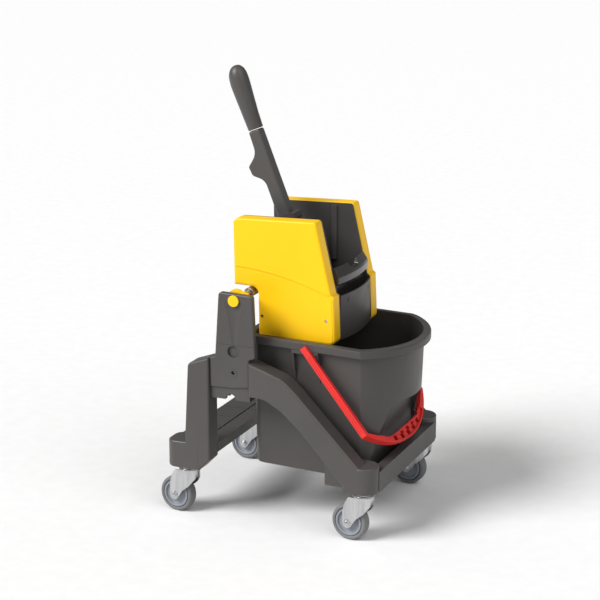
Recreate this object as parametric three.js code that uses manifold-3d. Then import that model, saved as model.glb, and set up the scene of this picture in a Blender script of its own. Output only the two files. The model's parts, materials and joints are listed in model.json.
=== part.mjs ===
// Single-bucket cleaning trolley with a swing-back press wringer, in millimetres.
// +X is the front, +Z is up, and the origin is on the floor under the middle of the trolley.
import * as THREE from "three";
import { mergeVertices } from "three/addons/utils/BufferGeometryUtils.js";
import Module from "manifold-3d";

const wasm = await Module();
wasm.setup();

// ---------- driving dimensions ----------
const GAP = 0.3; // running or assembly gap between neighbouring pieces
const WHEELBASE = 381; // between swivel axes, front to rear
const TRACK = 333; // between swivel axes, right to left
const AXLE_X = WHEELBASE / 2;
const AXLE_Y = TRACK / 2;

const WHEEL_R = 37.5;
const WHEEL_W = 24;
const CASTER_TRAIL = 28; // wheel centre behind the swivel axis
const CASTER_TURN = 6; // degrees that every fork stands away from straight back
const FORK_HALF = 17.5; // outer half width of the fork legs
const FORK_STEEL = 2.2;
const RACE_R = 22.5;
const RACE_LOW = 91;
const FRAME_LOW = 104; // underside of the frame and top of the casters

const SIDE_OUT = 196; // outer face of the legs and arms
const SIDE_IN = 154; // inner face of the legs and arms
const FRAME_WALL = 4.5;
const CORNER_R = 30.5; // front corner bosses
const REAR_BLOCK = { back: 229, out: 196, in: 137, top: 161, round: 20 };
const FRONT_TOP = 159;
const BAR_TOP = 146;
const BAR_DEPTH = 20;
const TRAY_BACK = 109;
const SHELF = { front: -132, back: -226, top: 154, thick: 20 };

const POST_OUT = 190;
const POST_IN = 176.5;
const POST_FOOT_IN = 160; // the foot of each post reaches further in than its upper plate
const TILT = { x: -76, z: 466 }; // axis that the whole press swings back on
const PIN_R = 6;
const TUBE_R = 10;
const TUBE_END = 122;

const BUCKET = {
  slope: 0.028, // fall of rim and floor towards the front
  rim: 386.5, // rim height over the origin
  floor: 114.5,
  wall: 2.6,
  centreX: 72.5, // centre of the round front
  topHalf: 137,
  lowHalf: 127,
  topR: 169,
  lowR: 159,
  topBack: -67.5,
  lowBack: -63.5,
  rimOut: 13,
  rimTall: 16,
};
const BAIL = {
  x: 60,
  z: 377,
  tilt: 51, // degrees that it hangs below level
  half: 157,
  armLength: 203,
  bowLength: 262,
  thick: 13,
  gripAt: 236.5, // the grip's straight inner edge
  gripHalf: 71,
};

const PRESS_OUT = 115; // outer face of the yellow covers
const PRESS_IN = 83; // inner face of the yellow covers
const PLATE = 3.7; // thickness of the dark side plates
const COVER_WALL = 3.5;
const JAW = { x: -16, z: 520, lean: 21.8 }; // axis of the moving jaw and lever, and the lever's lean at rest
const ROD_R = 6;

// ---------- colours ----------
const GREY = { color: 0x5c5a58, roughness: 0.5, metalness: 0 };
const DARK = { color: 0x3a3836, roughness: 0.5, metalness: 0 };
const BUCKET_GREY = { color: 0x4e4b48, roughness: 0.5, metalness: 0 };
const YELLOW = { color: 0xfdd92b, roughness: 0.35, metalness: 0 };
const RED = { color: 0xe83a32, roughness: 0.4, metalness: 0 };
const HUB_GREY = { color: 0x9a9ea8, roughness: 0.5, metalness: 0 };
const TYRE_GREY = { color: 0x5e5e60, roughness: 0.8, metalness: 0 };
const ZINC = { color: 0xc8c8c8, roughness: 0.35, metalness: 0.9 };
const STEEL = { color: 0xb8b8ba, roughness: 0.3, metalness: 1 };

// ---------- solids ----------
const RAD = Math.PI / 180;

function toSolid(geometry) {
  const loose = geometry.index ? geometry.toNonIndexed() : geometry;
  const bare = new THREE.BufferGeometry().setAttribute("position", loose.getAttribute("position"));
  const merged = mergeVertices(bare, 1e-4);
  const mesh = new wasm.Mesh({
    numProp: 3,
    vertProperties: merged.attributes.position.array,
    triVerts: new Uint32Array(merged.index.array),
  });
  return new wasm.Manifold(mesh);
}

function toGeometry(solid) {
  const mesh = solid.getMesh();
  const places = new Float32Array(mesh.numVert * 3);
  for (let i = 0; i < mesh.numVert; i += 1) {
    const start = i * mesh.numProp;
    places.set(mesh.vertProperties.subarray(start, start + 3), i * 3);
  }
  const geometry = new THREE.BufferGeometry();
  geometry.setAttribute("position", new THREE.BufferAttribute(places, 3));
  geometry.setIndex(new THREE.BufferAttribute(new Uint32Array(mesh.triVerts), 1));
  return geometry;
}

const join = (...solids) => solids.reduce((whole, piece) => whole.add(piece));
const cut = (solid, ...tools) => tools.reduce((rest, tool) => rest.subtract(tool), solid);

// Outline points are [u, v] or [u, v, radius]; a radius rounds that corner with an arc.
function rounded(points, steps = 4) {
  const out = [];
  points.forEach(([u, v, radius = 0], i) => {
    const here = new THREE.Vector2(u, v);
    if (!radius) {
      out.push(here);
      return;
    }
    const before = new THREE.Vector2(...points.at(i - 1)).sub(here).normalize();
    const after = new THREE.Vector2(...points[(i + 1) % points.length]).sub(here).normalize();
    const half = Math.acos(THREE.MathUtils.clamp(before.dot(after), -1, 1)) / 2;
    const middle = before.clone().add(after).normalize().multiplyScalar(radius / Math.sin(half));
    const centre = here.clone().add(middle);
    const from = before.multiplyScalar(radius / Math.tan(half)).add(here).sub(centre);
    const to = after.multiplyScalar(radius / Math.tan(half)).add(here).sub(centre);
    const turn = Math.atan2(from.cross(to), from.dot(to));
    for (let k = 0; k <= steps; k += 1) {
      out.push(from.clone().rotateAround(new THREE.Vector2(), (turn * k) / steps).add(centre));
    }
  });
  return out;
}

function circle(u, v, radius, sides = 16) {
  return Array.from({ length: sides }, (_, i) => {
    const angle = (i / sides) * 2 * Math.PI;
    return [u + radius * Math.cos(angle), v + radius * Math.sin(angle)];
  });
}

function extruded(points, depth, steps) {
  const shape = new THREE.Shape(rounded(points, steps));
  return new THREE.ExtrudeGeometry(shape, { depth, bevelEnabled: false, curveSegments: 8 });
}

// A plate with its outline in X and Z, filling y from one value to the other.
function plateXZ(points, yA, yB, steps) {
  const geometry = extruded(points, Math.abs(yB - yA), steps).rotateX(Math.PI / 2);
  return toSolid(geometry.translate(0, Math.max(yA, yB), 0));
}

// A plate with its outline in X and Y, filling z from low to high.
function plateXY(points, low, high, steps) {
  return toSolid(extruded(points, high - low, steps).translate(0, 0, low));
}

// A plate with its outline in Y and Z, filling x from low to high.
function plateYZ(points, low, high, steps) {
  const geometry = extruded(points, high - low, steps);
  const axes = new THREE.Matrix4().makeBasis(
    new THREE.Vector3(0, 1, 0),
    new THREE.Vector3(0, 0, 1),
    new THREE.Vector3(1, 0, 0),
  );
  return toSolid(geometry.applyMatrix4(axes).translate(low, 0, 0));
}

function block(xA, xB, yA, yB, zA, zB) {
  const geometry = new THREE.BoxGeometry(Math.abs(xB - xA), Math.abs(yB - yA), Math.abs(zB - zA));
  return toSolid(geometry.translate((xA + xB) / 2, (yA + yB) / 2, (zA + zB) / 2));
}

function rodY(x, z, radius, yA, yB, sides = 20) {
  const geometry = new THREE.CylinderGeometry(radius, radius, Math.abs(yB - yA), sides);
  return toSolid(geometry.translate(x, (yA + yB) / 2, z));
}

function rodZ(x, y, radius, low, high, sides = 24) {
  const geometry = new THREE.CylinderGeometry(radius, radius, high - low, sides);
  return toSolid(geometry.rotateX(Math.PI / 2).translate(x, y, (low + high) / 2));
}

// A round piece from a profile of [radius, z] points, in order from the top down.
function turned(profile, sides) {
  const points = profile.map(([radius, z]) => new THREE.Vector2(radius, z)).reverse();
  return toSolid(new THREE.LatheGeometry(points, sides).rotateX(Math.PI / 2));
}

// A closed skin over rings of [x, y, z] points, bottom ring first, each ring anticlockwise from above.
function loft(rings) {
  const count = rings[0].length;
  const places = rings.flat(2);
  const faces = [];
  for (let level = 0; level + 1 < rings.length; level += 1) {
    for (let i = 0; i < count; i += 1) {
      const a = level * count + i;
      const b = level * count + ((i + 1) % count);
      faces.push(a, b, b + count, a, b + count, a + count);
    }
  }
  const flat = rings[0].map(([x, y]) => new THREE.Vector2(x, y));
  const lid = (rings.length - 1) * count;
  THREE.ShapeUtils.triangulateShape(flat, []).forEach(([a, b, c]) => {
    faces.push(a, c, b, lid + a, lid + b, lid + c);
  });
  const geometry = new THREE.BufferGeometry();
  geometry.setAttribute("position", new THREE.Float32BufferAttribute(places, 3));
  geometry.setIndex(faces);
  return toSolid(geometry);
}

const trolley = new THREE.Group();

function add(name, solid, finish, parent = trolley) {
  const mesh = new THREE.Mesh(toGeometry(solid), new THREE.MeshStandardMaterial(finish));
  mesh.name = name;
  parent.add(mesh);
}

const SIDES = [["right", -1], ["left", 1]];

// ---------- casters ----------
const WHEEL_MID = new THREE.Vector2(-CASTER_TRAIL, WHEEL_R);

function casterStem() {
  const top = FRAME_LOW - GAP;
  return turned([[0, top], [RACE_R, top], [RACE_R, 99], [19, 96.5], [0, 96.5]], 24);
}

// A U of sheet steel open to the back, trimmed to the leaning side outline of the fork.
function casterFork() {
  const front = 4;
  const bend = (radius) => {
    const turns = Array.from({ length: 13 }, (_, i) => (-90 + i * 15) * RAD);
    return turns.map((angle) => [front + radius * Math.cos(angle), radius * Math.sin(angle)]);
  };
  const clear = FORK_HALF - FORK_STEEL;
  const outer = [...bend(FORK_HALF), [-48, FORK_HALF], [-48, -FORK_HALF]];
  const inner = [...bend(clear), [-49, clear], [-49, -clear]];
  const skirt = cut(plateXY(outer, 20, 93), plateXY(inner, 19, 94));
  const eye = 10;
  const end = Array.from({ length: 9 }, (_, i) => {
    const angle = (180 + i * 18) * RAD;
    return [WHEEL_MID.x + eye * Math.cos(angle), WHEEL_MID.y + eye * Math.sin(angle)];
  });
  const side = [...end, [-8, 49], [8, 62], [18, 76], [23, 93], [-25, 93], [-33, 80], [-38, 62]];
  const legs = skirt.intersect(plateXZ(side, -30, 30));
  const bore = rodY(WHEEL_MID.x, WHEEL_MID.y, 4 + GAP, -30, 30, 16);
  return join(cut(legs, bore), rodZ(0, 0, RACE_R - 0.5, RACE_LOW, 96.5 - GAP));
}

// Turned about the wheel's own axis, lying along Y.
function wheelPiece(profile) {
  const geometry = toGeometry(turned(profile, 28)).rotateX(Math.PI / 2);
  return toSolid(geometry.translate(WHEEL_MID.x, 0, WHEEL_MID.y));
}

function casterTyre() {
  const half = WHEEL_W / 2;
  const bead = 28.5;
  const profile = [
    [bead, half - 2],
    [WHEEL_R - 5, half],
    [WHEEL_R - 1.2, half - 3],
    [WHEEL_R, half - 7],
    [WHEEL_R, 7 - half],
    [WHEEL_R - 1.2, 3 - half],
    [WHEEL_R - 5, -half],
    [bead, 2 - half],
    [bead, half - 2],
  ];
  return wheelPiece(profile);
}

function casterHub() {
  const half = WHEEL_W / 2;
  const rim = 28.5 - GAP;
  const bore = 4 + GAP;
  const front = [[bore, 14.5], [9, 14.5], [10, 9], [23, 7.5], [25, half], [rim, half]];
  const back = front.map(([radius, z]) => [radius, -z]).reverse();
  return wheelPiece([...front, ...back, front[0]]);
}

function casterAxle() {
  const head = FORK_HALF + GAP;
  return join(
    rodY(WHEEL_MID.x, WHEEL_MID.y, 4, -head - 1, head + 1, 16),
    rodY(WHEEL_MID.x, WHEEL_MID.y, 6.5, head, head + 4, 6),
    rodY(WHEEL_MID.x, WHEEL_MID.y, 6.5, -head - 3, -head, 16),
  );
}

[["front", 1], ["rear", -1]].forEach(([row, ahead]) => {
  SIDES.forEach(([hand, side]) => {
    const caster = new THREE.Group();
    caster.position.set(ahead * AXLE_X, side * AXLE_Y, 0);
    caster.rotation.z = -CASTER_TURN * RAD;
    trolley.add(caster);
    const name = `caster_${row}_${hand}`;
    add(`${name}_race`, casterStem(), ZINC, caster);
    add(`${name}_fork`, casterFork(), ZINC, caster);
    add(`${name}_tyre`, casterTyre(), TYRE_GREY, caster);
    add(`${name}_hub`, casterHub(), HUB_GREY, caster);
    add(`${name}_axle`, casterAxle(), STEEL, caster);
  });
});

// ---------- chassis ----------
const LEG_FACE = -131; // front face of the rear legs
const ARM_BACK = -45; // where the arms meet the posts

function rearBlock(side, grow = 0) {
  const { back, out, round, top } = REAR_BLOCK;
  const inner = side * (REAR_BLOCK.in - grow);
  const outer = side * out;
  const points = [
    [-back - grow, inner, round],
    [-back - grow, outer, round],
    [-155 + grow, outer],
    [-155 + grow, inner],
  ];
  return plateXY(side < 0 ? points.reverse() : points, FRAME_LOW - grow, top + grow);
}

function rearLeg(side) {
  const outline = [
    [-190, FRAME_LOW],
    [-177.5, 328, 10],
    [LEG_FACE, 345],
    [LEG_FACE, 129],
    [-155, FRAME_LOW],
  ];
  const pocket = [
    [-184, 168],
    [-173, 320, 8],
    [LEG_FACE - FRAME_WALL, 335],
    [LEG_FACE - FRAME_WALL, 168],
  ];
  const beam = plateXZ(outline.reverse(), side * SIDE_OUT, side * SIDE_IN);
  const hollow = plateXZ(pocket.reverse(), side * (SIDE_OUT - FRAME_WALL), side * (SIDE_IN - 1));
  return join(cut(beam, hollow), rearBlock(side));
}

function frontArm(side) {
  const outline = [
    [ARM_BACK + GAP, 343],
    [-10, 332, 90],
    [30, 318, 60],
    [58, 293, 60],
    [AXLE_X, FRONT_TOP - 1],
    [AXLE_X, FRAME_LOW],
    [156, FRAME_LOW],
    [156, 119],
    [68, 215, 60],
    [25, 253, 60],
    [-11, 273, 40],
    [ARM_BACK + GAP, 274],
  ];
  const pocket = [
    [ARM_BACK + 8, 335],
    [-8, 324, 60],
    [27, 310, 50],
    [54, 286, 50],
    [140, 190],
    [140, 158],
    [72, 223, 50],
    [28, 261, 50],
    [-10, 281, 30],
    [ARM_BACK + 8, 282],
  ];
  const beam = plateXZ(outline.reverse(), side * SIDE_OUT, side * SIDE_IN);
  const hollow = plateXZ(pocket.reverse(), side * (SIDE_OUT - FRAME_WALL), side * (SIDE_IN - 1));
  const boss = rodZ(AXLE_X, side * AXLE_Y, CORNER_R, FRAME_LOW, FRONT_TOP, 40);
  const [far, near] = [side * (AXLE_Y + CORNER_R), side * (AXLE_Y - CORNER_R)];
  const heel = block(156, AXLE_X, far, near, FRAME_LOW, FRONT_TOP);
  const gusset = block(TRAY_BACK, 160, side * 170, near, 106, 150);
  return join(cut(beam, hollow), boss, heel, gusset);
}

function frontTray() {
  const wide = AXLE_Y - CORNER_R - GAP;
  const front = AXLE_X + CORNER_R;
  const bar = block(front - BAR_DEPTH, front, -AXLE_Y, AXLE_Y, FRAME_LOW, BAR_TOP);
  const floor = block(TRAY_BACK, front - 1, -wide, wide, FRAME_LOW, 108);
  const kerb = block(TRAY_BACK, TRAY_BACK + 5, -wide, wide, FRAME_LOW, 109);
  const bosses = SIDES.map(([, side]) =>
    rodZ(AXLE_X, side * AXLE_Y, CORNER_R + GAP, FRAME_LOW - 1, FRONT_TOP, 40),
  );
  const hollow = block(front - BAR_DEPTH + 4, front - 4, -wide + 10, wide - 10, FRAME_LOW - 1, BAR_TOP - 4);
  return cut(join(bar, floor, kerb), hollow, ...bosses);
}

function rearPlatform() {
  const { front, back, top, thick } = SHELF;
  const low = top - thick;
  const wide = SIDE_IN - GAP;
  const slab = block(back, front, -wide, wide, low, top);
  const under = block(back + 5, front - 5, 5 - wide, wide - 5, low - 1, top - 5);
  const ribs = [-90, -30, 30, 90].map((y) => block(back + 1, front - 1, y - 2, y + 2, low, top - 1));
  const grooveRows = [-60, 0, 60].map((y) => block(back - 1, front + 1, y - 1.5, y + 1.5, top - 2, top + 1));
  const groove = block(-168, -165, 10 - wide, wide - 10, top - 2, top + 1);
  const blocks = SIDES.map(([, side]) => rearBlock(side, GAP));
  const shell = join(cut(slab, under), ...ribs);
  return cut(shell, ...grooveRows, groove, ...blocks);
}

// An upper plate on a box-shaped foot that fills the space between leg and arm.
function post(side) {
  const { x, z } = TILT;
  const outline = [
    [LEG_FACE + GAP, 284],
    [-80, 286],
    [ARM_BACK, 291],
    [ARM_BACK, 347],
    [-32, 352],
    [-37, 478.5, 5],
    [-110, 480.5, 6],
    [-119, 349],
    [LEG_FACE + GAP, 345],
  ];
  const foot = [[LEG_FACE + GAP, 261], [ARM_BACK, 261], [ARM_BACK, 347], [LEG_FACE + GAP, 345]];
  const hollow = [[-126, 255], [-50, 255], [-50, 342], [-126, 340]];
  const plate = plateXZ(outline, side * POST_OUT, side * POST_IN);
  const box = plateXZ(foot, side * (POST_OUT - 4), side * POST_FOOT_IN);
  const inside = plateXZ(hollow, side * POST_IN, side * (POST_FOOT_IN + 4));
  const step = block(-140, -30, side * (POST_OUT - 4.2), side * (POST_OUT + 1), 255, 286);
  const notch = plateXZ(circle(-87, 261, 11.5, 20), side * (POST_FOOT_IN + 40), side * (POST_FOOT_IN - 1));
  const dish = plateXZ(
    [[-99, 461], [-57, 461], [-70, 379], [-82, 379]],
    side * (POST_OUT - 1.5),
    side * (POST_OUT + 1),
  );
  return cut(
    join(cut(box, inside), plate),
    step,
    notch,
    dish,
    rodY(x, z, PIN_R + 0.1, side * (POST_IN - 1), side * (POST_OUT + 1)),
    rodY(-79, 362, 12, side * (POST_OUT - 5), side * (POST_OUT + 1), 28),
    rodY(-79, 319, 4, side * (POST_OUT + 1), side * (POST_OUT - 9)),
  );
}

function pinCap(side) {
  const shell = rodY(TILT.x, TILT.z, 11.5, side * (POST_OUT + GAP), side * (POST_OUT + 4));
  return cut(shell, rodY(TILT.x, TILT.z, PIN_R + GAP, side * POST_OUT, side * (POST_OUT + 2.5)));
}

function tiltPin(side) {
  return rodY(TILT.x, TILT.z, PIN_R, side * (TUBE_END - 22), side * (POST_OUT + 2));
}

function postScrew(side) {
  return rodY(-79, 319, 3.6, side * (POST_OUT - 8.7), side * (POST_OUT - 6), 12);
}

// A round cam on the tilt pin with a tail over the press's cross tube.
function pressLatch(side) {
  const { x, z } = TILT;
  const round = Array.from({ length: 19 }, (_, i) => {
    const angle = (50 + i * 15) * RAD;
    return [x - 4 + 18.5 * Math.cos(angle), z + 18.5 * Math.sin(angle)];
  });
  const outline = [...round, [x + 21, z + 2], [x + 21, z + 10]];
  const plate = plateXZ(outline, side * (POST_IN - GAP), side * (POST_IN - 13));
  return cut(plate, rodY(x, z, PIN_R + GAP, side * (POST_IN + 1), side * (POST_IN - 14)));
}

add("front_tray", frontTray(), GREY);
add("rear_platform", rearPlatform(), GREY);
SIDES.forEach(([hand, side]) => {
  add(`rear_leg_${hand}`, rearLeg(side), GREY);
  add(`front_arm_${hand}`, frontArm(side), GREY);
  add(`post_${hand}`, post(side), GREY);
  add(`post_screw_${hand}`, postScrew(side), STEEL);
  add(`tilt_pin_${hand}`, tiltPin(side), STEEL);
  add(`pin_cap_${hand}`, pinCap(side), YELLOW);
  add(`press_latch_${hand}`, pressLatch(side), YELLOW);
});

// ---------- bucket ----------
// Plan outline with a straight back, straight sides and a round front.
function bucketRing(half, frontR, back, heightAt) {
  const meet = BUCKET.centreX + Math.sqrt(frontR ** 2 - half ** 2);
  const spread = Math.asin(half / frontR);
  const steps = 18;
  const front = Array.from({ length: steps - 1 }, (_, i) => {
    const angle = -spread + (2 * spread * (i + 1)) / steps;
    return [BUCKET.centreX + frontR * Math.cos(angle), frontR * Math.sin(angle)];
  });
  const plan = rounded([[back, half, 22], [back, -half, 22], [meet, -half], ...front, [meet, half]]);
  return plan.map(({ x, y }) => [x, y, heightAt(x)]);
}

const rimAt = (x) => BUCKET.rim - BUCKET.slope * x;
const floorAt = (x) => BUCKET.floor - BUCKET.slope * x;

// The hollowed lower front: an arch seen from the front, with a face that leans in towards the floor.
function frontRecess(grow) {
  const sill = 262 + grow;
  const half = [[126, 90], [118, 145], [103, 209], [86, 250, 14], [55, sill]];
  const outline = [...half, ...half.map(([y, z, r]) => [-y, z, r]).reverse()];
  const widened = outline.map(([y, z, r]) => [y + Math.sign(y) * grow, z, r]);
  const face = [[192 - grow, sill], [180 - grow, 90], [320, 90], [320, sill]];
  return plateYZ(widened, 150, 320).intersect(plateXZ(face, -140, 140));
}

function bucket() {
  const b = BUCKET;
  const outer = loft([
    bucketRing(b.lowHalf, b.lowR, b.lowBack, floorAt),
    bucketRing(b.topHalf, b.topR, b.topBack, rimAt),
  ]);
  const inner = loft([
    bucketRing(b.lowHalf - b.wall, b.lowR - b.wall, b.lowBack + b.wall, (x) => floorAt(x) + b.wall),
    bucketRing(b.topHalf - b.wall, b.topR - b.wall, b.topBack + b.wall, (x) => rimAt(x) + 1),
  ]);
  const rim = loft([
    bucketRing(b.topHalf + b.rimOut, b.topR + b.rimOut, b.topBack - b.rimOut, (x) => rimAt(x) - b.rimTall),
    bucketRing(b.topHalf + b.rimOut, b.topR + b.rimOut, b.topBack - b.rimOut, rimAt),
  ]);
  const rimBore = loft([
    bucketRing(b.topHalf - 2, b.topR - 2, b.topBack + 2, (x) => rimAt(x) - b.rimTall - 1),
    bucketRing(b.topHalf - 2, b.topR - 2, b.topBack + 2, (x) => rimAt(x) + 1),
  ]);
  const shell = cut(outer, frontRecess(0), cut(inner, frontRecess(b.wall)));
  const lugs = SIDES.flatMap(([, side]) => [
    cut(
      block(28, 84, side * 135, side * (b.topHalf + b.rimOut - 1), 362, 380),
      rodY(BAIL.x, BAIL.z - 6, 4 + GAP, side * 138, side * 160, 16),
    ),
    ...[28, 80].map((x) => plateYZ(ribOutline(side), x, x + 4)),
  ]);
  return join(shell, cut(rim, rimBore, ...bailHoles()), ...lugs);
}

function ribOutline(side) {
  const points = [[side * 132, 290], [side * 148, 364], [side * 148, 372], [side * 134, 372]];
  return side > 0 ? points : points.reverse();
}

function bailHoles() {
  return SIDES.map(([, side]) => rodY(BAIL.x, BAIL.z - 6, 4 + GAP, side * 138, side * 160, 16));
}

// Flat hoop laid out along its own length u and across y, then tipped down round the bucket's front.
function bail() {
  const { half, armLength, bowLength, thick, tilt, gripAt, gripHalf } = BAIL;
  const bowHalf = half + 3;
  const rise = bowLength - armLength;
  const bowR = (bowHalf ** 2 + rise ** 2) / (2 * rise);
  const centre = bowLength - bowR;
  const spread = Math.asin(bowHalf / bowR);
  const steps = 18;
  const angles = Array.from({ length: steps + 1 }, (_, i) => -spread + (2 * spread * i) / steps);
  const outer = angles.map((a) => [centre + bowR * Math.cos(a), bowR * Math.sin(a)]);
  const inner = angles.map((a) => {
    const width = 6.5 + 10 * Math.cos((a / spread) * (Math.PI / 2)) ** 0.7;
    const radius = bowR - width;
    const [u, y] = [centre + radius * Math.cos(a), radius * Math.sin(a)];
    return [Math.abs(y) < gripHalf ? Math.min(u, gripAt) : u, y];
  });
  const inside = half - 6.5;
  inner[0] = [armLength - 6, -inside];
  inner[steps] = [armLength - 6, inside];
  const outline = [[-8, -inside], [-8, -half], ...outer, [-8, half], [-8, inside], ...inner.reverse()];
  const hoop = plateXY(outline, -thick / 2, thick / 2);
  const slots = [-60, -30, 0, 30, 60].map((y) => {
    const end = centre + Math.sqrt(bowR ** 2 - y ** 2) - 5;
    return block(gripAt + 3.5, end, y - 7, y + 7, -thick, thick);
  });
  const pegs = SIDES.map(([, side]) => rodY(0, 0, 4, side * 141, side * (half - 1), 16));
  const flat = join(cut(hoop, ...slots), ...pegs);
  const geometry = toGeometry(flat).rotateY(tilt * RAD).translate(BAIL.x, 0, BAIL.z - 6);
  return toSolid(geometry);
}

add("bucket", bucket(), BUCKET_GREY);
add("bail", bail(), RED);

// ---------- press ----------
const COVER_OUTLINE = [
  [-111, 478],
  [-59, 477, 16],
  [-58, 377],
  [107, 375, 12],
  [103, 471],
  [97, 476],
  [64, 619, 7],
  [-104, 613.5, 5],
  [-113, 606],
];

function inset(points, distance) {
  const count = points.length;
  return points.map(([u, v, radius], i) => {
    const here = new THREE.Vector2(u, v);
    const before = here.clone().sub(new THREE.Vector2(...points.at(i - 1))).normalize();
    const after = new THREE.Vector2(...points[(i + 1) % count]).sub(here).normalize();
    const normal = new THREE.Vector2(-before.y - after.y, before.x + after.x).normalize();
    const reach = distance / Math.max(0.3, normal.dot(new THREE.Vector2(-before.y, before.x)));
    const moved = here.addScaledVector(normal, reach);
    return radius ? [moved.x, moved.y, Math.max(1, radius - distance)] : [moved.x, moved.y];
  });
}

const SCREW_PLACES = [[-50, 419], [88, 424]];

function cover(side) {
  const shell = plateXZ(COVER_OUTLINE, side * PRESS_OUT, side * PRESS_IN);
  const roof = side * (PRESS_OUT - COVER_WALL);
  const hollow = plateXZ(inset(COVER_OUTLINE, COVER_WALL), roof, side * (PRESS_IN - 1));
  const skirt = [[-58.5, 470], [-58.5, 380], [100, 378], [98, 470], [60, 482], [10, 495], [-40, 506]];
  const raised = plateXZ(skirt.reverse(), side * (PRESS_OUT - 1), side * (PRESS_OUT + 0.8));
  const panel = raised.intersect(plateXZ(COVER_OUTLINE, side * 150, side * 80));
  const [bottom, top] = [side * (PRESS_OUT - 4), side * (PRESS_OUT + 3)];
  const pillars = SCREW_PLACES.map(([x, z]) => rodY(x, z, 6, side * PRESS_IN, side * (PRESS_OUT - 1), 14));
  const bores = SCREW_PLACES.map(([x, z]) => rodY(x, z, 3.4, bottom, top, 12));
  return cut(join(cut(shell, hollow), panel, ...pillars), ...bores);
}

function sidePlate(side) {
  const outer = side * (PRESS_IN - GAP);
  const inner = side * (PRESS_IN - GAP - PLATE);
  const plate = plateXZ(inset(COVER_OUTLINE, 1), outer, inner);
  const rib = rodZ(24, side * (PRESS_IN - PLATE), 7, 500, 613, 20);
  const rearHalf = rib.intersect(block(10, 40, side * 70, side * (PRESS_IN - GAP - 0.5), 490, 616));
  const bore = rodY(JAW.x, JAW.z, ROD_R + GAP, side * 70, side * 90);
  return cut(join(plate, rearHalf), bore);
}

function coverScrew(side, [x, z]) {
  return rodY(x, z, 3.1, side * (PRESS_OUT - 3.7), side * (PRESS_OUT - 0.6), 12);
}

const INNER_HALF = PRESS_IN - GAP - PLATE - GAP;

// A wall that bulges forward by its crown half way across.
function bulgedWall(front, crown, thick, low, high) {
  const half = INNER_HALF;
  const radius = (half ** 2 + crown ** 2) / (2 * crown);
  const spread = Math.asin(half / radius);
  const angles = Array.from({ length: 15 }, (_, i) => -spread + (i / 14) * 2 * spread);
  const arc = (r) => angles.map((a) => [front + crown - radius + r * Math.cos(a), r * Math.sin(a)]);
  const back = arc(radius).map(([x, y]) => [x - thick, y]).reverse();
  return plateXY([...arc(radius), ...back], low, high);
}

function pressFrontWall() {
  const wall = bulgedWall(104, 9.5, 4, 378, 468);
  const slots = SIDES.map(([, side]) => block(90, 130, side * 52, side * 55.5, 451, 460));
  return cut(wall, ...slots);
}

// A slotted plate with a heavy rolled lip along its top, dipped in the middle for the mop's stick.
function frontJaw() {
  const plate = block(86, 90, -INNER_HALF, INNER_HALF, 386, 500);
  const notch = plateYZ([[-25, 530], [-15, 509, 5], [15, 509, 5], [25, 530]], 70, 130);
  const holes = [];
  for (let row = 0; row < 3; row += 1) {
    for (let column = -3; column <= 3; column += 1) {
      const z = 398 + row * 20;
      holes.push(block(80, 91, column * 20 - 3, column * 20 + 3, z, z + 12));
    }
  }
  return cut(join(plate, jawLip()), notch, ...holes);
}

// The lip's section, swept across the press along an arc that bulges forward.
function jawLip() {
  const steps = 12;
  const rings = Array.from({ length: steps + 1 }, (_, i) => {
    const share = 1 - (2 * i) / steps;
    const ahead = 8 * (1 - share ** 2);
    const section = [[85, 487], [95, 486], [98.5, 490], [99, 503], [97, 508], [88, 521], [84.5, 521.5]];
    return section.map(([x, z]) => [x + ahead, z, -INNER_HALF * share]);
  });
  return toSolid(toGeometry(loft(rings)).rotateX(Math.PI / 2));
}

function drainPlate() {
  const plate = block(-54, 99.5, -INNER_HALF, INNER_HALF, 379, 383);
  const slots = [];
  for (let row = 0; row < 4; row += 1) {
    for (let column = -2; column <= 2; column += 1) {
      const x = -40 + row * 34;
      slots.push(block(x, x + 24, column * 28 - 5, column * 28 + 5, 370, 390));
    }
  }
  return cut(plate, ...slots);
}

// The back plate steps out behind the jaw and is slotted for the lever's stroke.
function pressBack() {
  const outline = [
    [-58, 384],
    [-55, 384],
    [-55, 483],
    [-103, 483],
    [-103, 568],
    [-107, 568],
    [-107, 479],
    [-58, 479],
  ];
  const slot = block(-110, -100, -26, 26, 520, 600);
  return cut(plateXZ(outline, -INNER_HALF, INNER_HALF), slot);
}

function crossTube() {
  const tube = rodY(TILT.x, TILT.z, TUBE_R, -TUBE_END, TUBE_END);
  return cut(tube, rodY(TILT.x, TILT.z, PIN_R + GAP, -TUBE_END - 1, TUBE_END + 1));
}

function tubeBracket(side) {
  const { x, z } = TILT;
  const [front, top] = [-58 - GAP, 479 - GAP];
  const outline = [
    [x - 16, top],
    [x - 16, z, 6],
    [x - 10, z - 15, 8],
    [x + 10, z - 15, 8],
    [front, z],
    [front, top],
  ];
  const plate = plateXZ(outline, side * 58, side * 66);
  return cut(plate, rodY(x, z, TUBE_R + GAP, side * 50, side * 70));
}

SIDES.forEach(([hand, side]) => {
  add(`press_cover_${hand}`, cover(side), YELLOW);
  add(`press_side_plate_${hand}`, sidePlate(side), DARK);
  add(`cover_screw_rear_${hand}`, coverScrew(side, SCREW_PLACES[0]), STEEL);
  add(`cover_screw_front_${hand}`, coverScrew(side, SCREW_PLACES[1]), STEEL);
  add(`tube_bracket_${hand}`, tubeBracket(side), DARK);
});
add("press_front_wall", pressFrontWall(), DARK);
add("front_jaw", frontJaw(), DARK);
add("drain_plate", drainPlate(), DARK);
add("press_back", pressBack(), DARK);
add("cross_tube", crossTube(), STEEL);
add("jaw_rod", rodY(JAW.x, JAW.z, ROD_R, -PRESS_IN - 6, PRESS_IN + 6), STEEL);

// ---------- lever and moving jaw, turning together on the jaw rod ----------
const ARM_HALF_Y = 13;
const SOCKET_HALF_Y = 20;
const ARM_FOOT = 21; // lower end of the lever arm, measured up from the rod

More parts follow.
